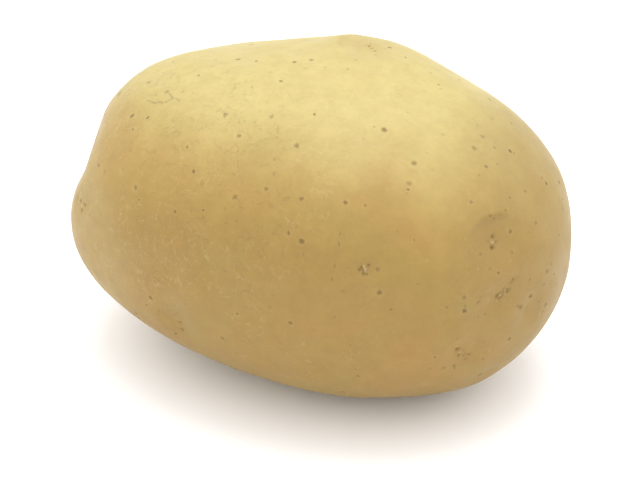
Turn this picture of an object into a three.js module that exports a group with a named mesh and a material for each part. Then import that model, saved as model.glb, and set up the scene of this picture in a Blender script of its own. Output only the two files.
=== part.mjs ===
// A table potato lying on its side, grown as one solid tuber. Millimetres, +Z up.
// +X is the rose end, where the eyes crowd together, and -X is the stem end, where it hung from
// the plant. The origin is on the ground, under the middle of the tuber's outline.
import * as THREE from "three";

// Size of the plain rounded body, before swells and hollows are added
const LENGTH = 101;
const WIDTH = 74;
const HEIGHT = 65.5;
const FULLNESS = 2.2; // 2 is an ellipsoid, and more fills out its shoulders

// The small flat spot that it rests on
const REST_DEPTH = 1; // how far up into the round underside the flat is taken
const REST_ROUNDING = 0.5; // how softly the flat turns up into the side

// The mesh is a cube's six faces blown up round, in square cells
const CELLS = 25; // along each edge of a face
const SPLIT = 3; // how many each way a cell is split into at the eyes and the scar
const SPLIT_REACH = 0.75; // how far out from their middles that goes, in their own lengths

const SKIN = { color: 0xc79f5f, roughness: 0.55, metalness: 0 };

// A place on the tuber: a bearing round it, from +X towards +Y, and a height above its middle,
// both in degrees, as a direction from its middle
function towards(bearing, height) {
  const round = THREE.MathUtils.degToRad(bearing);
  const up = THREE.MathUtils.degToRad(height);
  return new THREE.Vector3(
    Math.cos(up) * Math.cos(round),
    Math.cos(up) * Math.sin(round),
    Math.sin(up),
  );
}

// Broad swells (lift above 0) and hollows (below 0), each fading out over its reach in degrees
const SWELLS = [
  // Rose end: the tip drawn in, with its far shoulder flattened and its near underside full
  { at: towards(23, 0), reach: 20, lift: -0.8 },
  { at: towards(45, 31), reach: 20, lift: -0.9 },
  { at: towards(-7, -39), reach: 20, lift: 2.2 },
  // Stem end: a high shoulder, a tight neck under it, and a blunt nose beside it
  { at: towards(180, 31), reach: 15, lift: 1.6 },
  { at: towards(-167, 11), reach: 8, lift: -2.9 },
  { at: towards(-154, -5), reach: 17, lift: 2 },
  // Top: a saddle next to the stem end's shoulder and a swell at the back
  { at: towards(150, 52), reach: 22, lift: -1.5 },
  { at: towards(81, 54), reach: 20, lift: 1.7 },
  // Front: a soft ridge running down from the top, with a flatter cheek on either side of it
  { at: towards(-70, 62), reach: 13, lift: 0.5 },
  { at: towards(-122, 45), reach: 17, lift: -0.5 },
  { at: towards(-28, 42), reach: 18, lift: -0.5 },
  // Front: the rose end's dip round its eyes, and a lean lower side towards the stem end
  { at: towards(-22, 6), reach: 11, lift: -0.8 },
  { at: towards(-123, -42), reach: 26, lift: -1.1 },
  // Back: a dented side and a fuller lower flank
  { at: towards(100, -5), reach: 20, lift: -1.2 },
  { at: towards(140, -25), reach: 22, lift: 1.2 },
];

// Eyes: each is a small bud in an oval hollow, with a curved brow along one side of it. Turn is how
// far the brow is swung from the stem end's side, anticlockwise seen from outside, in degrees.
// Width is from the hollow's brow side to its open side, and length is across that.
const EYES = [
  // In front
  { at: towards(-56, 16), turn: 100, width: 3.4, length: 5, depth: 0.7, brow: 0.5, bud: 0.4 },
  { at: towards(-116, -14), turn: 10, width: 7, length: 9, depth: 1, brow: 0.4, bud: 0.3 },
  { at: towards(-150, 6), turn: 0, width: 5, length: 6, depth: 0.5, brow: 0.3, bud: 0.3 },
  // Crowded round the rose end: a hollow, a slanting furrow, a pit, a flat hollow, and one beyond
  { at: towards(-22, 16), turn: -55, width: 7, length: 10, depth: 1.4, brow: 0.6, bud: 0.3 },
  { at: towards(-22, 3), turn: -67, width: 5, length: 10, depth: 1.2, brow: 0.4, bud: 0.5 },
  { at: towards(-15, -4), turn: -30, width: 6, length: 8, depth: 1.1, brow: 0.2, bud: 0.2 },
  { at: towards(-32, -11), turn: -20, width: 7, length: 9, depth: 1, brow: 0.4, bud: 0.3 },
  { at: towards(34, 14), turn: 0, width: 6, length: 8, depth: 1, brow: 0.6, bud: 0.5 },
  // On top, with the strongest brow
  { at: towards(76, 65), turn: 10, width: 9, length: 11, depth: 0.7, brow: 0.8, bud: 0.4 },
  // Behind
  { at: towards(44, -6), turn: 0, width: 6, length: 8, depth: 1, brow: 0.5, bud: 0.4 },
  { at: towards(98, 12), turn: -20, width: 6, length: 8, depth: 0.9, brow: 0.6, bud: 0.4 },
  { at: towards(140, -28), turn: 15, width: 5, length: 7, depth: 0.8, brow: 0.4, bud: 0.3 },
];

// The round scar where the stem let go: a shallow dish with a raised rim
const STEM_SCAR = { at: towards(176, -4), width: 7, depth: 1.1, rim: 0.4 };

function bell(distance, reach) {
  return Math.exp(-((distance / reach) ** 2));
}

function degreesBetween(a, b) {
  return THREE.MathUtils.radToDeg(a.angleTo(b));
}

// The body with its swells, before eyes and scar are pressed in
function bodyPoint(direction) {
  const along = Math.abs(direction.x) / (LENGTH / 2);
  const across = Math.abs(direction.y) / (WIDTH / 2);
  const up = Math.abs(direction.z) / (HEIGHT / 2);
  let radius = (along ** FULLNESS + across ** FULLNESS + up ** FULLNESS) ** (-1 / FULLNESS);
  for (const swell of SWELLS) {
    radius += swell.lift * bell(degreesBetween(direction, swell.at), swell.reach);
  }
  return direction.clone().multiplyScalar(radius);
}

// Where an eye sits, with its brow's side and its two ends as directions along the skin
function eyeFrame(eye) {
  const stemEnd = new THREE.Vector3(-1, 0, 0);
  const toBrow = stemEnd.projectOnPlane(eye.at).normalize();
  toBrow.applyAxisAngle(eye.at, THREE.MathUtils.degToRad(eye.turn));
  return { middle: bodyPoint(eye.at), toBrow, sideways: eye.at.clone().cross(toBrow) };
}

const EYE_FRAMES = EYES.map(eyeFrame);
const SCAR_MIDDLE = bodyPoint(STEM_SCAR.at);

// Where the skin is busiest, and how far out the cells are split round each of those places
const BUSY_PLACES = EYES.map((eye, index) => {
  return { middle: EYE_FRAMES[index].middle, reach: eye.length * SPLIT_REACH };
});
BUSY_PLACES.push({ middle: SCAR_MIDDLE, reach: STEM_SCAR.width * SPLIT_REACH });

// How far an eye lifts the skin at a point of the body
function eyeLift(eye, frame, point) {
  const offset = point.clone().sub(frame.middle);
  if (offset.length() > 2 * eye.length) {
    return 0; // too far off, or right through on the other side
  }
  const towardsBrow = offset.dot(frame.toBrow);
  const across = (offset.dot(frame.sideways) * eye.width) / eye.length;
  const distance = Math.hypot(across, towardsBrow);
  const facingBrow = distance > 0 ? Math.max(0, towardsBrow / distance) ** 2 : 0;
  const hollow = -eye.depth * bell(distance, eye.width * 0.5);
  const brow = eye.brow * facingBrow * bell(distance - eye.width * 0.65, eye.width * 0.25);
  const bud = eye.bud * bell(offset.length(), eye.width * 0.2);
  return hollow + brow + bud;
}

function scarLift(point) {
  const distance = point.distanceTo(SCAR_MIDDLE);
  const dish = -STEM_SCAR.depth * bell(distance, STEM_SCAR.width * 0.4);
  const rim = STEM_SCAR.rim * bell(distance - STEM_SCAR.width * 0.6, STEM_SCAR.width * 0.2);
  return dish + rim;
}

// The smaller of two lengths, blended where they are closer than the rounding
function smoothMin(a, b, rounding) {
  const closeness = Math.max(0, 1 - Math.abs(a - b) / rounding);
  return Math.min(a, b) - (closeness ** 2 * rounding) / 4;
}

// The finished skin in one direction from the middle of the tuber
const MIDDLE_TO_GROUND = HEIGHT / 2 - REST_DEPTH;
function skinPoint(direction) {
  const body = bodyPoint(direction);
  let radius = body.length() + scarLift(body);
  EYES.forEach((eye, index) => {
    radius += eyeLift(eye, EYE_FRAMES[index], body);
  });
  if (direction.z < 0) {
    radius = smoothMin(radius, MIDDLE_TO_GROUND / -direction.z, REST_ROUNDING);
  }
  return direction.clone().multiplyScalar(radius);
}

// The cube's faces: which way each looks, and its two edges in an order that faces outward
const CUBE_FACES = [
  [[1, 0, 0], [0, 1, 0], [0, 0, 1]],
  [[-1, 0, 0], [0, 0, 1], [0, 1, 0]],
  [[0, 1, 0], [0, 0, 1], [1, 0, 0]],
  [[0, -1, 0], [1, 0, 0], [0, 0, 1]],
  [[0, 0, 1], [1, 0, 0], [0, 1, 0]],
  [[0, 0, -1], [0, 1, 0], [1, 0, 0]],
].map((face) => face.map((axis) => new THREE.Vector3(...axis)));

// A place on a face, counted in split cells from its corner, as a point of the cube
const STEPS = CELLS * SPLIT;
function cubePoint(face, column, row) {
  const [out, right, up] = face;
  const point = out.clone().multiplyScalar(STEPS / 2);
  point.addScaledVector(right, column - STEPS / 2);
  return point.addScaledVector(up, row - STEPS / 2);
}

// Evening out the angles keeps the cells much the same size over a whole face
function evenDirection(cube) {
  const even = (step) => Math.tan((step / (STEPS / 2)) * (Math.PI / 4));
  return new THREE.Vector3(even(cube.x), even(cube.y), even(cube.z)).normalize();
}

// An edge is split if its middle is in a busy place, which two cells that share it agree on
function isSplitEdge(face, start, end) {
  const middle = cubePoint(face, (start[0] + end[0]) / 2, (start[1] + end[1]) / 2);
  const point = bodyPoint(evenDirection(middle));
  return BUSY_PLACES.some((place) => point.distanceTo(place.middle) < place.reach);
}

// Points are shared between cells and between the cube's faces, so that the skin is closed
function skinGeometry() {
  const points = [];
  const pointAt = new Map();
  const triangles = [];

  function indexOf(face, [column, row]) {
    const cube = cubePoint(face, column, row);
    const key = cube.toArray().join(" ");
    if (!pointAt.has(key)) {
      pointAt.set(key, points.length);
      points.push(skinPoint(evenDirection(cube)));
    }
    return pointAt.get(key);
  }

  // A plain square of skin, cut along its shorter diagonal
  function addSquare(face, column, row, side) {
    const a = indexOf(face, [column, row]);
    const b = indexOf(face, [column + side, row]);
    const c = indexOf(face, [column + side, row + side]);
    const d = indexOf(face, [column, row + side]);
    if (points[a].distanceTo(points[c]) <= points[b].distanceTo(points[d])) {
      triangles.push(a, b, c, a, c, d);
    } else {
      triangles.push(a, b, d, b, c, d);
    }
  }

  // A cell that has some split edges is a fan round its middle, out to every point of its outline
  function addFan(face, middle, outline) {
    const hub = indexOf(face, middle);
    outline.forEach((place, index) => {
      const next = outline[(index + 1) % outline.length];
      triangles.push(hub, indexOf(face, place), indexOf(face, next));
    });
  }

  function addCell(face, column, row) {
    const corners = [
      [column, row],
      [column + SPLIT, row],
      [column + SPLIT, row + SPLIT],
      [column, row + SPLIT],
    ];
    const outline = [];
    let splitEdges = 0;
    corners.forEach((start, index) => {
      const end = corners[(index + 1) % corners.length];
      const parts = isSplitEdge(face, start, end) ? SPLIT : 1;
      splitEdges += parts > 1 ? 1 : 0;
      for (let part = 0; part < parts; part += 1) {
        const along = part / SPLIT;
        outline.push([
          start[0] + (end[0] - start[0]) * along,
          start[1] + (end[1] - start[1]) * along,
        ]);
      }
    });
    if (splitEdges === 0) {
      addSquare(face, column, row, SPLIT);
    } else if (splitEdges < corners.length) {
      addFan(face, [column + SPLIT / 2, row + SPLIT / 2], outline);
    } else {
      for (let up = 0; up < SPLIT; up += 1) {
        for (let right = 0; right < SPLIT; right += 1) {
          addSquare(face, column + right, row + up, 1);
        }
      }
    }
  }

  for (const face of CUBE_FACES) {
    for (let row = 0; row < STEPS; row += SPLIT) {
      for (let column = 0; column < STEPS; column += SPLIT) {
        addCell(face, column, row);
      }
    }
  }

  // Stands it on the ground, with the middle of its outline over the origin
  const box = new THREE.Box3().setFromPoints(points);
  const middle = box.getCenter(new THREE.Vector3());
  const shift = new THREE.Vector3(-middle.x, -middle.y, MIDDLE_TO_GROUND);
  points.forEach((point) => point.add(shift));

  const geometry = new THREE.BufferGeometry().setFromPoints(points);
  geometry.setIndex(triangles);
  geometry.computeVertexNormals();
  return geometry;
}

const tuber = new THREE.Mesh(skinGeometry(), new THREE.MeshStandardMaterial(SKIN));
tuber.name = "tuber";

const group = new THREE.Group();
group.name = "potato";
group.add(tuber);

export default group;
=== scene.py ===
import math

import bpy
import numpy as np
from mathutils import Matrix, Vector, noise
from mathutils.bvhtree import BVHTree


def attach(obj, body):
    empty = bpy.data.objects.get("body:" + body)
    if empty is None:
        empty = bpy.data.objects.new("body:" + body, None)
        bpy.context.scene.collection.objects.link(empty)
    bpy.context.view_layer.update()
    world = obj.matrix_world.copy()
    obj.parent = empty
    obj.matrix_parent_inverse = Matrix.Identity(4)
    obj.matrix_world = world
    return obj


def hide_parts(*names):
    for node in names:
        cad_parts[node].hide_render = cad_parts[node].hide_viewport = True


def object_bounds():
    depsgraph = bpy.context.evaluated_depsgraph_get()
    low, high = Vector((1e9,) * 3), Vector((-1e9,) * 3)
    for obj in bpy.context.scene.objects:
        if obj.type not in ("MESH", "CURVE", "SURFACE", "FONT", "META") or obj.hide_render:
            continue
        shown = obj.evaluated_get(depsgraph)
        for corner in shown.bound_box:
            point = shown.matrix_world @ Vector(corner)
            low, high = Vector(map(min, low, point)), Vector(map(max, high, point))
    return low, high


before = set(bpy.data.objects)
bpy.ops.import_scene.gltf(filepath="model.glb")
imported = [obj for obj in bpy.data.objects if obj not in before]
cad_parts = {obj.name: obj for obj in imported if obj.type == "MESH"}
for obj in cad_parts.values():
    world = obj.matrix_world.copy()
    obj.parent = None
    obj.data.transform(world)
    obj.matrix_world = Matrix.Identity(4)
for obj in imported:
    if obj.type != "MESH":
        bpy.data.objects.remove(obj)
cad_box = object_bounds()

# ---- The body of the tuber ----------------------------------------------------------------------
# A table potato is one swollen underground stem. It grew as one solid body of pale flesh under a
# thin corky skin, and was pushed into soft swells and flats by the soil and stones around it.

# The middle that the tuber is shaped about, over the ground
TUBER_MIDDLE = Vector((0.00033, 0.00028, 0.03175))
MM = 0.001

# Its surface is a fine grid of six curved faces, like a cube blown up round
GRID = 128
FACES = (
    ((1, 0, 0), (0, 1, 0), (0, 0, 1)),
    ((-1, 0, 0), (0, 0, 1), (0, 1, 0)),
    ((0, 1, 0), (0, 0, 1), (1, 0, 0)),
    ((0, -1, 0), (1, 0, 0), (0, 0, 1)),
    ((0, 0, 1), (1, 0, 0), (0, 1, 0)),
    ((0, 0, -1), (0, 1, 0), (1, 0, 0)),
)


# A bearing round the tuber from +X towards +Y and a height above its middle, in degrees
def towards(bearing, height):
    turn, rise = math.radians(bearing), math.radians(height)
    return np.array((
        math.cos(rise) * math.cos(turn),
        math.cos(rise) * math.sin(turn),
        math.sin(rise),
    ))


# The eyes, which the body is modelled most finely at. Millimetres and degrees: each one's hollow
# has a width, from its brow to its open side, and a length across that. Turn is how far the brow
# is swung from the stem end's side. Places in an eye are how far towards its brow, and how far
# sideways: pits are small sunk specks (place, radius), and tips are the swollen points of buds
# (place, radius, height). Rough is broken, scaly skin round the bud (length, width, height), and
# step is how far the skin drops from the brow's edge into the hollow.
EYES = (
    # In front: one with a sprouting tip and a lip, and two worn nearly flat
    dict(at=towards(-56, 16), turn=100, width=3.4, length=5, step=0.15, rough=(1.2, 1.1, 0.2),
         tips=((-0.5, 0.1, 0.34, 0.4), (0, 0.2, 0.3, 0.3), (0.45, 0.2, 0.28, 0.25),
               (1.6, -0.3, 0.5, 0.06), (1.7, 0.4, 0.5, 0.06)),
         pits=((0.2, -0.8, 0.28), (-0.3, -0.4, 0.2), (0.9, -0.2, 0.34), (-0.6, 0.8, 0.26),
               (1.1, 0.4, 0.2))),
    dict(at=towards(-116, -14), turn=10, width=7, length=9, step=0.1, rough=(1.5, 0.8, 0.12),
         tips=((0, 0, 0.4, 0.15),),
         pits=((0.1, 1.1, 0.34), (0.4, 3, 0.34), (-0.2, -1.6, 0.2))),
    dict(at=towards(-150, 6), turn=0, width=5, length=6, step=0.15, rough=(1.8, 0.8, 0.15),
         tips=((0, 0, 0.5, 0.2),),
         pits=((0, 0.7, 0.4), (-1.2, -0.8, 0.3))),
    # Crowded round the rose end: a hollow with a bud, a slanting furrow full of scaly skin, a
    # pit, a flat hollow, and one beyond
    dict(at=towards(-22, 16), turn=-55, width=7, length=10, step=0.55, rough=(1.1, 0.9, 0.1),
         tips=((0, 0.1, 0.42, 0.5),),
         pits=((0.9, -0.5, 0.42), (-0.9, 0.3, 0.46), (0.4, 0.8, 0.2), (-0.2, -0.9, 0.2))),
    dict(at=towards(-22, 3), turn=-67, width=5, length=10, step=0.2, rough=(2.4, 1.4, 0.32),
         tips=((0.1, 0.4, 0.3, 0.3), (0.3, -0.9, 0.28, 0.3), (-0.5, 1.5, 0.28, 0.25)),
         pits=((0.7, -0.6, 0.24), (-0.5, 0.3, 0.22), (0.6, 1.0, 0.22), (-0.4, -1.3, 0.22),
               (2.7, 4.6, 0.34), (2.0, 5.2, 0.34), (1.5, 5.8, 0.26),
               (1.7, -3.0, 0.34), (1.3, -3.9, 0.28))),
    dict(at=towards(-15, -4), turn=-30, width=6, length=8, step=0, rough=(1.2, 0.8, 0.12),
         tips=((1.5, -1.5, 0.24, 0.15),),
         pits=((2.2, -1.1, 0.36), (3.3, -1.5, 0.3))),
    dict(at=towards(-32, -11), turn=-20, width=7, length=9, step=0, rough=(2.6, 2, 0.14),
         tips=((0.2, -0.6, 0.5, 0.15),),
         pits=((0.9, -1.4, 0.42), (-1.7, 0.4, 0.34), (-1.5, 1.8, 0.3), (0.3, 3.2, 0.3),
               (2.6, 3.3, 0.3), (0.1, -0.3, 0.24))),
    dict(at=towards(34, 14), turn=0, width=6, length=8, step=0.4, rough=(1.6, 1.1, 0.25),
         tips=((0, 0, 0.5, 0.5),),
         pits=((0.9, 0.3, 0.45), (-0.8, -0.5, 0.5), (0.2, 1.3, 0.3))),
    # On top, with the longest brow
    dict(at=towards(76, 65), turn=10, width=9, length=11, step=0.2, rough=(1.6, 1.0, 0.2),
         tips=((0.1, 0.3, 0.45, 0.3),),
         pits=((0.2, -0.4, 0.36), (-0.3, 0.9, 0.3), (-1.0, 1.6, 0.3))),
    # Behind
    dict(at=towards(44, -6), turn=0, width=6, length=8, step=0.35, rough=(1.5, 1.0, 0.2),
         tips=((0, 0.1, 0.5, 0.4),),
         pits=((0.8, -0.4, 0.4), (-0.8, 0.6, 0.45))),
    dict(at=towards(98, 12), turn=-20, width=6, length=8, step=0.4, rough=(1.8, 1.1, 0.3),
         tips=((0, -0.1, 0.5, 0.45), (0.2, 1.2, 0.4, 0.2)),
         pits=((0.9, -0.2, 0.45), (-0.9, 0.3, 0.45), (0.1, -1.2, 0.3))),
    dict(at=towards(140, -28), turn=15, width=5, length=7, step=0.3, rough=(1.3, 0.9, 0.2),
         tips=((0, 0, 0.45, 0.3),),
         pits=((0.8, 0.2, 0.4), (-0.7, -0.5, 0.35))),
)


# 1 in the middle, and fading to nothing at about twice the reach
def bell(distance, reach):
    return np.exp(-((distance / reach) ** 2))


# The grid's points are shared along the faces' edges, so the skin is one closed surface
def grid_directions_and_squares():
    steps = np.arange(GRID + 1)
    column, row = np.meshgrid(steps, steps)
    half = GRID // 2
    cubes = []
    for out, right, up in np.array(FACES):
        across = (column - half)[..., None] * right
        along = (row - half)[..., None] * up
        cubes.append((out * half + across + along).reshape(-1, 3))
    cube = np.concatenate(cubes)
    keys = (cube + half) @ np.array(((GRID + 1) ** 2, GRID + 1, 1))
    _, first, shared = np.unique(keys, return_index=True, return_inverse=True)
    corner = (row * (GRID + 1) + column)[:-1, :-1].ravel()
    square = np.stack((corner, corner + 1, corner + GRID + 2, corner + GRID + 1), axis=1)
    squares = np.concatenate([square + face * (GRID + 1) ** 2 for face in range(len(FACES))])
    even = np.tan(cube[first] / half * math.pi / 4)  # about equal squares all over
    return even / np.linalg.norm(even, axis=1, keepdims=True), shared.ravel()[squares]


# It is drawn in towards the eyes, where its squares are about a fifth of a millimetre
EYE_PULL = 0.6
EYE_PULL_REACH = math.radians(7)


def drawn_to_eyes(directions):
    drawn = directions.copy()
    for eye in EYES:
        angle = np.arccos(np.clip(directions @ eye["at"], -1, 1))
        pull = EYE_PULL * bell(angle, EYE_PULL_REACH)
        drawn += (eye["at"] - directions) * pull[:, None]
    return drawn / np.linalg.norm(drawn, axis=1, keepdims=True)


directions, squares = grid_directions_and_squares()
directions = drawn_to_eyes(directions)

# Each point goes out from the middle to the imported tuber's skin
packed_skin = BVHTree.FromObject(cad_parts["tuber"], bpy.context.evaluated_depsgraph_get())


def skin_at(direction):
    hit, _, _, _ = packed_skin.ray_cast(TUBER_MIDDLE, Vector(direction))
    return hit


points = np.array([skin_at(direction) for direction in directions])

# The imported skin's facets are evened out, each point moving to the mean of its neighbours. What
# that takes off the broad swells is then put back.
FACET_SMOOTHINGS = 16
ends = np.concatenate([squares[:, (k, (k + 1) % 4)] for k in range(4)])
ends = np.concatenate((ends, ends[:, ::-1]))
neighbours = np.bincount(ends[:, 0])


def evened_out(values):
    for _ in range(FACET_SMOOTHINGS):
        total = [np.bincount(ends[:, 0], values[ends[:, 1], axis]) for axis in range(3)]
        values = np.stack(total, axis=1) / neighbours[:, None]
    return values


even_points = evened_out(points)
points = even_points + evened_out(points - even_points)


def outward_normals(places):
    a, b, c, d = (places[squares[:, corner]] for corner in range(4))
    facing = np.cross(c - a, d - b)
    normals = np.zeros_like(places)
    for corner in range(4):
        for axis in range(3):
            normals[:, axis] += np.bincount(squares[:, corner], facing[:, axis], len(places))
    return normals / np.linalg.norm(normals, axis=1, keepdims=True)


# Shallow dimples and lumps, from how the skin stretched as the tuber swelled, in millimetres:
# how far apart they are and how high
DIMPLES = ((15, 0.22), (6, 0.07), (2.4, 0.025))


def skin_relief(place):
    relief = 0.0
    for spacing, height in DIMPLES:
        relief += height * noise.noise(Vector(place) / (spacing * MM))
    return relief


normals = outward_normals(points)
lift = np.array([skin_relief(place) for place in points])

# ---- The eyes -----------------------------------------------------------------------------------
# An eye is a dormant bud in the hollow that the body has for it. It is soft pale tissue under tiny
# dry scales, in a nest of cracked cork, with soil caught in its pits. Its hollow, and most of all
# the skin under its brow, is painted browner: painted shade.

# The brow, in millimetres where it isn't said
BROW_AT = 0.66  # how far out its edge is, in hollow widths
BROW_EDGE = 0.07  # how soft that edge is
BROW_SHADE = 2.6  # how far in from it the skin drops
LIP_HEIGHT = 0.3  # of the lip that stands up along the edge, in steps
LIP_PAST_EDGE = 0.35
LIP_WIDTH = 0.4
SHARP_STEP = 0.4  # a step as high as this shades its hollow in full

# The hollow's painted shade: how brown it is painted without a step, what a sharp one adds, and
# how far that goes
HOLLOW_SHADE = 0.25
SHARP_SHADE = 0.45
HOLLOW_REACH = 0.6  # in hollow widths

PALE_TIP = 0.2  # a bud's tip as high as this is as pale as any

# The broken skin's scales, and how much of a scale's height lies under the skin round it
SCALE_SIZE = 0.42
SCALE_STEEPNESS = 2.2
SCALE_SUNK = 0.45
ROUGH_FADE = 0.8
ROUGHEST = max(eye["rough"][2] for eye in EYES)

# Nothing in an eye has an even edge: how long the waves in the edges are and how far they go
WAVE_LENGTH = 1.1
ROUGH_WAVE = 0.35
BROW_WAVE = 0.3
PIT_WAVE = 0.16
TIP_WAVE = 0.12

bud_mask = np.zeros(len(points))
soil_mask = np.zeros(len(points))
hollow_shade_mask = np.zeros(len(points))
rough_mask = np.zeros(len(points))


# An eye's two directions along the skin: towards its brow, and sideways
def eye_directions(eye):
    to_brow = np.array((-1.0, 0, 0)) + eye["at"] * eye["at"][0]
    to_brow /= np.linalg.norm(to_brow)
    sideways = np.cross(eye["at"], to_brow)
    turn = math.radians(eye["turn"])
    return (
        to_brow * math.cos(turn) + sideways * math.sin(turn),
        sideways * math.cos(turn) - to_brow * math.sin(turn),
    )


# Broken skin is a jumble of small raised scales with gaps between them: 1 on a scale, 0 in a gap
def scaly(place):
    distances, _ = noise.voronoi(Vector(place) / (SCALE_SIZE * MM))
    return min(1.0, (distances[1] - distances[0]) * SCALE_STEEPNESS)


for eye in EYES:
    middle = np.array(skin_at(eye["at"]))
    to_brow, sideways = eye_directions(eye)
    offset = (points - middle) / MM
    near = np.flatnonzero(np.linalg.norm(offset, axis=1) < eye["length"])
    forward = offset[near] @ to_brow
    across = offset[near] @ sideways
    wave = np.array([noise.noise(Vector(points[index]) / (WAVE_LENGTH * MM)) for index in near])
    oval = np.hypot(across * eye["width"] / eye["length"], forward)
    facing = np.clip(forward / np.maximum(oval, 0.01), 0, 1) ** 2
    long, wide, high = eye["rough"]
    from_bud = np.hypot(across / long, forward / wide) + ROUGH_WAVE * wave
    rough = bell(from_bud, ROUGH_FADE) ** 2
    scales = np.array([scaly(points[index]) for index in near])
    past_brow = oval - eye["width"] * BROW_AT + BROW_WAVE * wave
    under_brow = facing * bell(past_brow, BROW_SHADE) / (1 + np.exp(past_brow / BROW_EDGE))
    lip = LIP_HEIGHT * facing * bell(past_brow - LIP_PAST_EDGE, LIP_WIDTH)
    rise = rough * high * (scales - SCALE_SUNK) - eye["step"] * (under_brow - lip)
    soil = np.zeros(len(near))
    bud = np.zeros(len(near))
    for pit_forward, pit_across, radius in eye["pits"]:
        away = np.hypot(forward - pit_forward, across - pit_across) + PIT_WAVE * wave
        pit = bell(away, radius)
        rise -= radius * pit  # a pit is as deep as its radius
        soil = np.maximum(soil, pit)
    for tip_forward, tip_across, radius, height in eye["tips"]:
        away = np.hypot(forward - tip_forward, across - tip_across) + TIP_WAVE * wave
        tip = bell(away, radius)
        rise += height * tip
        bud = np.maximum(bud, tip * min(1, height / PALE_TIP))
        soil *= 1 - tip
    lift[near] += rise
    np.maximum.at(bud_mask, near, bud)
    np.maximum.at(soil_mask, near, soil)
    # The eye's painted shade: browner in its hollow, and under its brow where the step is sharp
    sharp = min(1, eye["step"] / SHARP_STEP)
    hollow = (HOLLOW_SHADE + SHARP_SHADE * sharp) * bell(oval, eye["width"] * HOLLOW_REACH)
    np.maximum.at(hollow_shade_mask, near, np.maximum(hollow, under_brow * sharp))
    np.maximum.at(rough_mask, near, rough * high / ROUGHEST)

# ---- The stem scar ------------------------------------------------------------------------------
# Where the stolon that fed the tuber broke away, a small dry disc of torn fibres is left in the
# dish at the stem end, sealed over with brown cork.
SCAR_AT = towards(176, -4)
SCAR_RADIUS = 2.4
SCAR_SOFTNESS = 0.25
SCAR_WAVE_LENGTH = 1.5
SCAR_WAVE = 0.8
FIBRE_SIZE = 0.6
FIBRE_HEIGHT = 0.25
GROOVE_DEPTH = 0.2  # of the groove round the disc
GROOVE_WIDTH = 0.35


def noise_at_points(size):
    return np.array([noise.noise(Vector(place) / (size * MM)) for place in points])


scar_middle = np.array(skin_at(SCAR_AT))
from_scar = np.linalg.norm(points - scar_middle, axis=1) / MM
past_scar = from_scar + SCAR_WAVE * noise_at_points(SCAR_WAVE_LENGTH) - SCAR_RADIUS
scar_mask = 1 / (1 + np.exp(past_scar / SCAR_SOFTNESS))
groove = bell(from_scar - SCAR_RADIUS, GROOVE_WIDTH)
lift += scar_mask * FIBRE_HEIGHT * noise_at_points(FIBRE_SIZE) - GROOVE_DEPTH * groove

# The finished skin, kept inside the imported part's box
points = points + normals * (lift * MM)[:, None]
points = np.clip(points, np.array(cad_box[0]), np.array(cad_box[1]))

tuber_mesh = bpy.data.meshes.new("potato")
tuber_mesh.from_pydata(points.tolist(), [], squares.tolist())
tuber_mesh.shade_smooth()
masks = {
    "bud": bud_mask,
    "soil": soil_mask,
    # eye: the painted shade in the eyes' hollows and under their brows
    "eye": hollow_shade_mask,
    "rough": rough_mask,
    "scar": scar_mask,
}
for name, mask in masks.items():
    tuber_mesh.attributes.new(name, "FLOAT", "POINT").data.foreach_set("value", mask)
potato = bpy.data.objects.new("potato", tuber_mesh)
bpy.context.collection.objects.link(potato)

# ---- The skin -----------------------------------------------------------------------------------
# The skin is a few cells of cork over the flesh, washed, satin and thin enough to glow a little.
# It is tan to golden, painted paler to straw on the side that faces up and back to the softbox,
# which is painted light, and it is marked by breathing pores, hair-thin stretch lines, lifted
# flakes and small nicks from the harvest.
skin = bpy.data.materials.new("potato_skin")
skin.use_nodes = True
tree = skin.node_tree
tree.nodes.clear()


def add(kind, **settings):
    node = tree.nodes.new(kind)
    for name, value in settings.items():
        setattr(node, name, value)
    return node


# Puts another node's output, or a plain number or vector, into an input
def feed(target, value):
    if isinstance(value, bpy.types.NodeSocket):
        tree.links.new(value, target)
    else:
        target.default_value = value


# One step of arithmetic on numbers or nodes' outputs, then the same on vectors
def maths(operation, *values, clamp=False):
    node = add("ShaderNodeMath", operation=operation, use_clamp=clamp)
    for target, value in zip(node.inputs, values):
        feed(target, value)
    return node.outputs[0]


def multiply(first, second):
    return maths("MULTIPLY", first, second)


def vector_maths(operation, *values, scale=None):
    node = add("ShaderNodeVectorMath", operation=operation)
    for target, value in zip(node.inputs, values):
        feed(target, value)
    if scale is not None:
        feed(node.inputs["Scale"], scale)
    return node.outputs["Value" if operation in ("DOT_PRODUCT", "LENGTH") else "Vector"]


# From 0 to 1, smoothly, as a value goes from one limit to the other
def between(value, low, high):
    node = add("ShaderNodeMapRange", interpolation_type="SMOOTHSTEP")
    for name, number in (("Value", value), ("From Min", low), ("From Max", high)):
        feed(node.inputs[name], number)
    return node.outputs["Result"]


# Which of a Mix node's sockets are for colours
MIX_FIRST, MIX_SECOND, MIX_RESULT = 6, 7, 2


def mix_colour(amount, first, second, blend="MIX"):
    node = add("ShaderNodeMix", data_type="RGBA", blend_type=blend)
    feed(node.inputs["Factor"], amount)
    feed(node.inputs[MIX_FIRST], first)
    feed(node.inputs[MIX_SECOND], second)
    return node.outputs[MIX_RESULT]


# A place on the skin in millimetres, which way it faces, and its direction from the middle
coordinates = add("ShaderNodeTexCoord")
place = vector_maths("SCALE", coordinates.outputs["Object"], scale=1 / MM)
outward = coordinates.outputs["Normal"]
from_middle = vector_maths("SUBTRACT", place, tuple(TUBER_MIDDLE / MM))
from_middle = vector_maths("NORMALIZE", from_middle)


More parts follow.
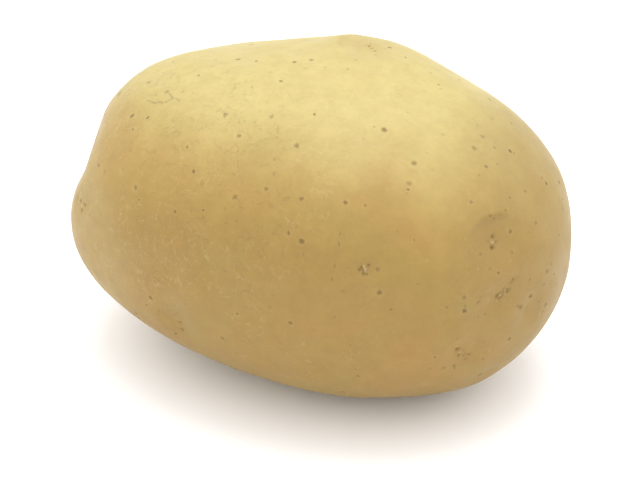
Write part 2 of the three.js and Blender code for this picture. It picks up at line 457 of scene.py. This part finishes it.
# Cloudy noise with patches of about a size in millimetres, as a value and as a vector. Each use
# is moved by a different length, so that no two fall in the same places.
def clouds(size, moved, detail=3.0, roughness=0.5):
    node = add("ShaderNodeTexNoise")
    feed(node.inputs["Vector"], vector_maths("ADD", place, (moved, moved, moved)))
    feed(node.inputs["Scale"], 1 / size)
    feed(node.inputs["Detail"], detail)
    feed(node.inputs["Roughness"], roughness)
    return node.outputs["Fac"], node.outputs["Color"]


# The noise's thick parts only: 0 where it is under the low limit, 1 over the high one
def cloud_patches(size, moved, low, high, **settings):
    return between(clouds(size, moved, **settings)[0], low, high)


# 0 to 1 as a place's direction from the middle comes round to a given one. The limits are
# cosines of the angle between the two.
def near_direction(direction, low, high):
    return between(vector_maths("DOT_PRODUCT", from_middle, direction), low, high)


# Lays some of a colour over the skin where a mask is
def lay(mask, amount, under, colour):
    return mix_colour(multiply(mask, amount), under, colour)


TAN = (0.278, 0.171, 0.036, 1)
GOLD = (0.340, 0.228, 0.057, 1)
STRAW = (0.417, 0.335, 0.117, 1)
PAINTED_BOUNCE_PALE = (0.355, 0.254, 0.084, 1)
ORANGE = (0.302, 0.168, 0.038, 1)
OLIVE = (0.269, 0.183, 0.040, 1)
HOLLOW_BROWN = (0.257, 0.163, 0.042, 1)
PORE_BROWN = (0.100, 0.054, 0.014, 1)
SOIL_BROWN = (0.104, 0.056, 0.019, 1)
BUD_PINK = (0.554, 0.385, 0.231, 1)
SCAR_BROWN = (0.154, 0.081, 0.030, 1)
FLAKE_PALE = (0.539, 0.431, 0.208, 1)

# How much of a colour is laid over the skin where its mask is full
ROSE_END_TINT = 0.6
STEM_END_TINT = 0.75
UNDERSIDE_TINT = 0.55
ORANGE_TINT = 0.55
OLIVE_TINT = 0.5
PAINTED_HOLLOW_SHADE_TINT = 0.6
HALO_TINT = 0.05
PORE_TINT = 0.72
HEALED_TINT = 0.16
FINE_HEALED_TINT = 0.17
CRACK_TINT = 0.17
FLAKE_TINT = 0.3
GAP_TINT = 0.42
SCALE_TINT = 0.4
BUD_TINT = 0.5
SOIL_TINT = 0.5
SCAR_TINT = 0.85

# Painted light from above: the side that faces up and a little back, towards the softbox, goes
# from tan through gold to straw towards its middle, with an uneven edge
PAINTED_LIGHT_FROM = tuple(towards(94, 56))
drift = maths("MULTIPLY_ADD", clouds(24, 20)[0], 0.24, -0.12)
painted_top_light = maths("ADD", vector_maths("DOT_PRODUCT", from_middle, PAINTED_LIGHT_FROM), drift)
body = mix_colour(between(painted_top_light, -0.3, 0.22), TAN, GOLD)
body = mix_colour(between(painted_top_light, -0.02, 0.55), body, STRAW)

# The rose end is browner. The stem end and the underside are painted paler: painted light that
# stands in for the glow bounced and reflected onto them from the white floor and room
rose_end = near_direction(tuple(towards(4, 6)), 0.7, 0.93)
body = lay(rose_end, ROSE_END_TINT, body, HOLLOW_BROWN)
stem_end = near_direction(tuple(towards(-162, -4)), 0.78, 1.0)
underside = near_direction((0, 0, -1), 0.35, 1.0)
painted_bounce_light = maths("MAXIMUM", multiply(stem_end, STEM_END_TINT), multiply(underside, UNDERSIDE_TINT))
body = mix_colour(painted_bounce_light, body, PAINTED_BOUNCE_PALE)

# Soft orange and olive patches, only on the side away from the painted light
away_from_painted_light = between(painted_top_light, 0.6, -0.1)
orange = multiply(cloud_patches(size=19, moved=40, low=0.46, high=0.72), away_from_painted_light)
olive = multiply(cloud_patches(size=13, moved=90, low=0.46, high=0.72), away_from_painted_light)
body = lay(orange, ORANGE_TINT, body, ORANGE)
body = lay(olive, OLIVE_TINT, body, OLIVE)

# Mottling of the flesh under the skin, and the grain of the cork cells. Each makes the colour a
# few hundredths darker or lighter.
MOTTLE_DARK, MOTTLE_LIGHT = (0.955, 0.945, 0.925, 1), (1.045, 1.05, 1.06, 1)
GRAIN_DARK, GRAIN_LIGHT = (0.965, 0.96, 0.95, 1), (1.035, 1.04, 1.04, 1)
mottle = cloud_patches(size=3.4, moved=66, low=0.25, high=0.75, detail=5, roughness=0.6)
grain = cloud_patches(size=0.9, moved=7, low=0.25, high=0.75, detail=4, roughness=0.65)
for cells, dark, light in ((mottle, MOTTLE_DARK, MOTTLE_LIGHT), (grain, GRAIN_DARK, GRAIN_LIGHT)):
    body = mix_colour(1.0, body, mix_colour(cells, dark, light), "MULTIPLY")


# One of the masks that the mesh carries
def mesh_mask(name):
    return add("ShaderNodeAttribute", attribute_name=name).outputs["Fac"]


# Painted shade: hollows that hold an eye are painted a little browner, most of all under a sharp
# brow
painted_hollow_shade = mesh_mask("eye")
body = lay(painted_hollow_shade, PAINTED_HOLLOW_SHADE_TINT, body, HOLLOW_BROWN)


# Breathing pores: a scatter of corky dots, each in the middle of a patch of skin of about the
# spacing, with only the kept share of them open. They are not quite round, and some are faint.
# The dot and the pale ring round it fade out between two distances, in pore radii.
DOT_FADE = (1.25, 0.3)
RING_FADE = (2.6, 1.0)
SMALLEST_PORE = 0.6  # in usual radii, as is how much wider than that the widest is
PORE_SPREAD = 0.8
RAGGED = 2  # how far a pore's edge is moved, in radii, by noise of the next size
RAGGED_SIZE = 0.8
DEEPEST = 0.33  # the deepest cell middle that still opens on the skin, in spacings
NOISE_MIDDLE = (0.5, 0.5, 0.5)


def pores(spacing, radius, kept, moved):
    cell = add("ShaderNodeTexVoronoi", voronoi_dimensions="3D", feature="F1")
    shifted = vector_maths("ADD", place, (moved, moved, moved))
    feed(cell.inputs["Vector"], shifted)
    feed(cell.inputs["Scale"], 1 / spacing)
    ragged = vector_maths("SUBTRACT", clouds(RAGGED_SIZE, moved)[1], NOISE_MIDDLE)
    away = vector_maths("SUBTRACT", shifted, cell.outputs["Position"])
    away = vector_maths("ADD", away, vector_maths("SCALE", ragged, scale=radius * RAGGED))
    depth = vector_maths("DOT_PRODUCT", away, outward)
    along_skin = vector_maths("SUBTRACT", away, vector_maths("SCALE", outward, scale=depth))
    chance = add("ShaderNodeSeparateColor")
    feed(chance.inputs[0], cell.outputs["Color"])
    wider = multiply(chance.outputs["Red"], radius * PORE_SPREAD)
    size = maths("ADD", wider, radius * SMALLEST_PORE)
    open_here = maths("LESS_THAN", chance.outputs["Green"], kept)
    in_skin = maths("LESS_THAN", maths("ABSOLUTE", depth), spacing * DEEPEST)
    strength = maths("MULTIPLY_ADD", chance.outputs["Blue"], 0.5, 0.5)
    shown = multiply(multiply(open_here, in_skin), strength)
    radii_away = maths("DIVIDE", vector_maths("LENGTH", along_skin), size)
    dot = between(radii_away, *DOT_FADE)
    ring = between(radii_away, *RING_FADE)
    return multiply(dot, shown), multiply(ring, shown)


# More of them are open at the rose end, and the faint ones are clearer there
kept = maths("MULTIPLY_ADD", rose_end, 0.2, 0.78)
open_pore, halo = pores(spacing=7.4, radius=0.46, kept=kept, moved=3)
kept = maths("MULTIPLY_ADD", rose_end, 0.4, 0.6)
faint_pore, _ = pores(spacing=5.4, radius=0.35, kept=kept, moved=51)
faint_strength = maths("MULTIPLY_ADD", rose_end, 0.24, 0.28)
body = lay(halo, HALO_TINT, body, FLAKE_PALE)
body = lay(open_pore, PORE_TINT, body, PORE_BROWN)
body = lay(faint_pore, faint_strength, body, PORE_BROWN)


# Stretch lines: a torn net of threads that the skin healed over as the tuber swelled
THREAD_BEND = 1.6  # in mesh sizes


def net(mesh_size, thickness, moved):
    bend = clouds(mesh_size, moved, detail=4)[1]
    bend = vector_maths("SCALE", bend, scale=mesh_size * THREAD_BEND)
    threads = add("ShaderNodeTexVoronoi", voronoi_dimensions="3D", feature="DISTANCE_TO_EDGE")
    feed(threads.inputs["Vector"], vector_maths("ADD", place, bend))
    feed(threads.inputs["Scale"], 1 / mesh_size)
    half = thickness / mesh_size
    torn = cloud_patches(size=1.6, moved=moved + 9, low=0.48, high=0.6)
    return multiply(between(threads.outputs["Distance"], half, half * 0.2), torn)


# Cloud patches that are more and larger where the spread is greater
def patches_where(spread, size, moved, low, high):
    return between(maths("ADD", clouds(size, moved)[0], spread), low, high)


# The skin stretched most on the stem end's shoulder. It healed pale in places and cracked in some.
stretched = near_direction(tuple(towards(-140, 30)), 0.1, 0.9)
spread = maths("MULTIPLY_ADD", stretched, 0.2, -0.12)
healed = multiply(
    net(mesh_size=3.6, thickness=0.16, moved=13),
    patches_where(spread, size=19, moved=61, low=0.48, high=0.66),
)
fine_healed = multiply(
    net(mesh_size=1.9, thickness=0.14, moved=27),
    patches_where(spread, size=14, moved=81, low=0.42, high=0.62),
)
cracked = multiply(
    net(mesh_size=3.1, thickness=0.15, moved=35),
    patches_where(spread, size=15, moved=71, low=0.46, high=0.66),
)
body = lay(healed, HEALED_TINT, body, FLAKE_PALE)
body = lay(fine_healed, FINE_HEALED_TINT, body, FLAKE_PALE)
body = lay(cracked, CRACK_TINT, body, SOIL_BROWN)

# Flakes where the skin's outer cells have lifted
flake_shapes = cloud_patches(size=1.9, moved=77, low=0.6, high=0.7, detail=5, roughness=0.7)
flake_areas = cloud_patches(size=13, moved=5, low=0.5, high=0.66)
flake = multiply(flake_shapes, flake_areas)
body = lay(flake, FLAKE_TINT, body, FLAKE_PALE)


# A nick or hair crack from one place to another, a little crooked
CROOK_SIZE = 2.2
CROOK = 1.6


def nick(start, end, thickness):
    start, end = ((np.array(skin_at(towards(*at))) / MM) for at in (start, end))
    line = Vector(end - start)
    crook = vector_maths("SUBTRACT", clouds(CROOK_SIZE, 19)[1], NOISE_MIDDLE)
    crooked = vector_maths("ADD", place, vector_maths("SCALE", crook, scale=CROOK))
    offset = vector_maths("SUBTRACT", crooked, tuple(start))
    along = vector_maths("DOT_PRODUCT", offset, tuple(line / line.length_squared))
    along = maths("MAXIMUM", maths("MINIMUM", along, 1.0), 0.0)
    nearest = vector_maths("SCALE", tuple(line), scale=along)
    distance = vector_maths("LENGTH", vector_maths("SUBTRACT", offset, nearest))
    return between(distance, thickness, thickness * 0.2)


# Where from and where to, as bearing and height, how thick in millimetres, and how dark
NICKS = (
    ((-157, 42), (-150, 44), 0.42, 0.26),
    ((-153.5, 43), (-153, 41), 0.36, 0.2),
    ((-158, 36), (-155, 38), 0.34, 0.16),
    ((-155, 38), (-153, 40), 0.4, 0.2),
    ((-62, 26), (-65, 12), 0.17, 0.25),
    ((-20, 9), (-20, 7), 0.2, 0.25),
    ((96, 38), (104, 43), 0.25, 0.35),
    ((150, 20), (147, 11), 0.22, 0.35),
)
nicked = 0.0
for start, end, thickness, darkness in NICKS:
    mark = nick(start, end, thickness)
    nicked = maths("MAXIMUM", nicked, mark)
    body = lay(mark, darkness, body, SOIL_BROWN)

# Broken skin is a jumble of pale scales and dark gaps, buds are pale and a little pink, their
# pits hold soil, and the stem scar is dry and brown
bud, soil, rough, scar = (mesh_mask(name) for name in ("bud", "soil", "rough", "scar"))
jumble = clouds(0.75, 37, detail=3, roughness=0.6)[0]
gap = multiply(between(jumble, 0.5, 0.38), between(rough, 0.04, 0.45))
scale = multiply(between(jumble, 0.54, 0.66), between(rough, 0.1, 0.6))
body = lay(gap, GAP_TINT, body, SOIL_BROWN)
body = lay(scale, SCALE_TINT, body, FLAKE_PALE)
body = lay(between(bud, 0.3, 0.9), BUD_TINT, body, BUD_PINK)
body = lay(between(soil, 0.1, 0.9), SOIL_TINT, body, SOIL_BROWN)
fibres = cloud_patches(size=0.7, moved=29, low=0.3, high=0.7, detail=5)
body = lay(scar, SCAR_TINT, body, mix_colour(fibres, SCAR_BROWN, TAN))

# It is satin with some duller patches, and dry and rough in pores, pits and the scar
sheen_patches = cloud_patches(size=6, moved=48, low=0.3, high=0.7, detail=4)
roughness = maths("MULTIPLY_ADD", sheen_patches, 0.1, 0.44)
roughness = maths("MULTIPLY_ADD", grain, 0.05, roughness)
dry = maths("MAXIMUM", maths("MAXIMUM", open_pore, soil), scar)
roughness = maths("MULTIPLY_ADD", dry, 0.3, roughness, clamp=True)

# Relief too fine for the mesh: each mark and how high it stands, in millimetres
pebbling = cloud_patches(size=2.6, moved=55, low=0.2, high=0.8, detail=5, roughness=0.55)
RELIEF = (
    (pebbling, 0.045),
    (grain, 0.014),
    (halo, 0.012),
    (open_pore, -0.09),
    (faint_pore, -0.03),
    (healed, 0.035),
    (fine_healed, 0.02),
    (cracked, -0.04),
    (flake, 0.03),
    (nicked, -0.12),
    (gap, -0.12),
    (scale, 0.1),
    (multiply(scar, fibres), 0.1),
)
relief = 0.0
for shape, millimetres in RELIEF:
    relief = maths("MULTIPLY_ADD", shape, millimetres, relief)
fine_relief = add("ShaderNodeBump")
feed(fine_relief.inputs["Distance"], MM)
feed(fine_relief.inputs["Height"], relief)

surface = add("ShaderNodeBsdfPrincipled")
feed(surface.inputs["Base Color"], body)
feed(surface.inputs["Roughness"], roughness)
feed(surface.inputs["Normal"], fine_relief.outputs["Normal"])
surface.inputs["Specular IOR Level"].default_value = 0.45
surface.inputs["Subsurface Weight"].default_value = 0.08
surface.inputs["Subsurface Radius"].default_value = (1.0, 0.55, 0.25)
surface.inputs["Subsurface Scale"].default_value = 0.0015
feed(add("ShaderNodeOutputMaterial").inputs["Surface"], surface.outputs["BSDF"])

tuber_mesh.materials.append(skin)
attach(potato, "root")
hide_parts("tuber")

# ---- The floor ----------------------------------------------------------------------------------
# A wide sweep of plain white card for the potato to lie on.
FLOOR_HALF = 3.0
floor_mesh = bpy.data.meshes.new("floor")
sides = ((-1, -1), (1, -1), (1, 1), (-1, 1))
corners = [(x * FLOOR_HALF, y * FLOOR_HALF, 0) for x, y in sides]
floor_mesh.from_pydata(corners, [], [(0, 1, 2, 3)])
card = bpy.data.materials.new("white_card")
card.use_nodes = True
card_surface = card.node_tree.nodes["Principled BSDF"]
card_surface.inputs["Base Color"].default_value = (0.92, 0.92, 0.92, 1)
card_surface.inputs["Roughness"].default_value = 0.9
card_surface.inputs["Specular IOR Level"].default_value = 0.1
floor_mesh.materials.append(card)
floor = bpy.data.objects.new("floor", floor_mesh)
bpy.context.collection.objects.link(floor)

# ---- The light ----------------------------------------------------------------------------------
# One big softbox overhead and a little behind, in a white room that fills the shadows. The room
# is brightest at its ceiling.
SOFTBOX_AT = Vector((-0.02, 0.13, 0.9))
SOFTBOX_AIM = Vector((0, 0, 0.03))
SOFTBOX_SIZE = 0.6
SOFTBOX_WATTS = 2.8
softbox_light = bpy.data.lights.new("overhead_softbox", "AREA")
softbox_light.shape = "DISK"
softbox_light.size = SOFTBOX_SIZE
softbox_light.energy = SOFTBOX_WATTS
softbox = bpy.data.objects.new("overhead_softbox", softbox_light)
softbox.location = SOFTBOX_AT
softbox.rotation_euler = (SOFTBOX_AIM - SOFTBOX_AT).to_track_quat("-Z", "Y").to_euler()
bpy.context.collection.objects.link(softbox)

CEILING_FROM = 0.5  # as the sine of the angle up from the floor
CEILING_STRENGTH = 1.7
WALL_FOOT_STRENGTH = 0.85
room = bpy.data.worlds.new("white_room")
room.use_nodes = True
walls = room.node_tree
background = walls.nodes["Background"]
background.inputs["Color"].default_value = (1, 1, 1, 1)
way = walls.nodes.new("ShaderNodeTexCoord")
height = walls.nodes.new("ShaderNodeSeparateXYZ")
brightness = walls.nodes.new("ShaderNodeMapRange")
brightness.inputs["From Max"].default_value = CEILING_FROM
brightness.inputs["To Min"].default_value = WALL_FOOT_STRENGTH
brightness.inputs["To Max"].default_value = CEILING_STRENGTH
walls.links.new(way.outputs["Generated"], height.inputs["Vector"])
walls.links.new(height.outputs["Z"], brightness.inputs["Value"])
walls.links.new(brightness.outputs["Result"], background.inputs["Strength"])
bpy.context.scene.world = room
bpy.context.scene.view_settings.view_transform = "Standard"

# ---- The camera ---------------------------------------------------------------------------------
# A long lens, looking down on the potato from in front and a little from its rose end.
CAMERA_BEARING = math.radians(23)
CAMERA_RISE = math.radians(32)
CAMERA_DISTANCE = 0.5
LENS = 141.2
AIM_SIDEWAYS = -0.0003  # from the middle of the potato's box
AIM_DOWN = 0.0058
back = Vector((
    math.sin(CAMERA_BEARING) * math.cos(CAMERA_RISE),
    -math.cos(CAMERA_BEARING) * math.cos(CAMERA_RISE),
    math.sin(CAMERA_RISE),
))
right = Vector((math.cos(CAMERA_BEARING), math.sin(CAMERA_BEARING), 0))
camera_data = bpy.data.cameras.new("camera")
camera_data.lens = LENS
camera = bpy.data.objects.new("camera", camera_data)
box_low, box_high = cad_box
aim_at = (box_low + box_high) / 2 + right * AIM_SIDEWAYS - back.cross(right) * AIM_DOWN
camera.location = aim_at + back * CAMERA_DISTANCE
camera.rotation_euler = (-back).to_track_quat("-Z", "Y").to_euler()
bpy.context.collection.objects.link(camera)
bpy.context.scene.camera = camera
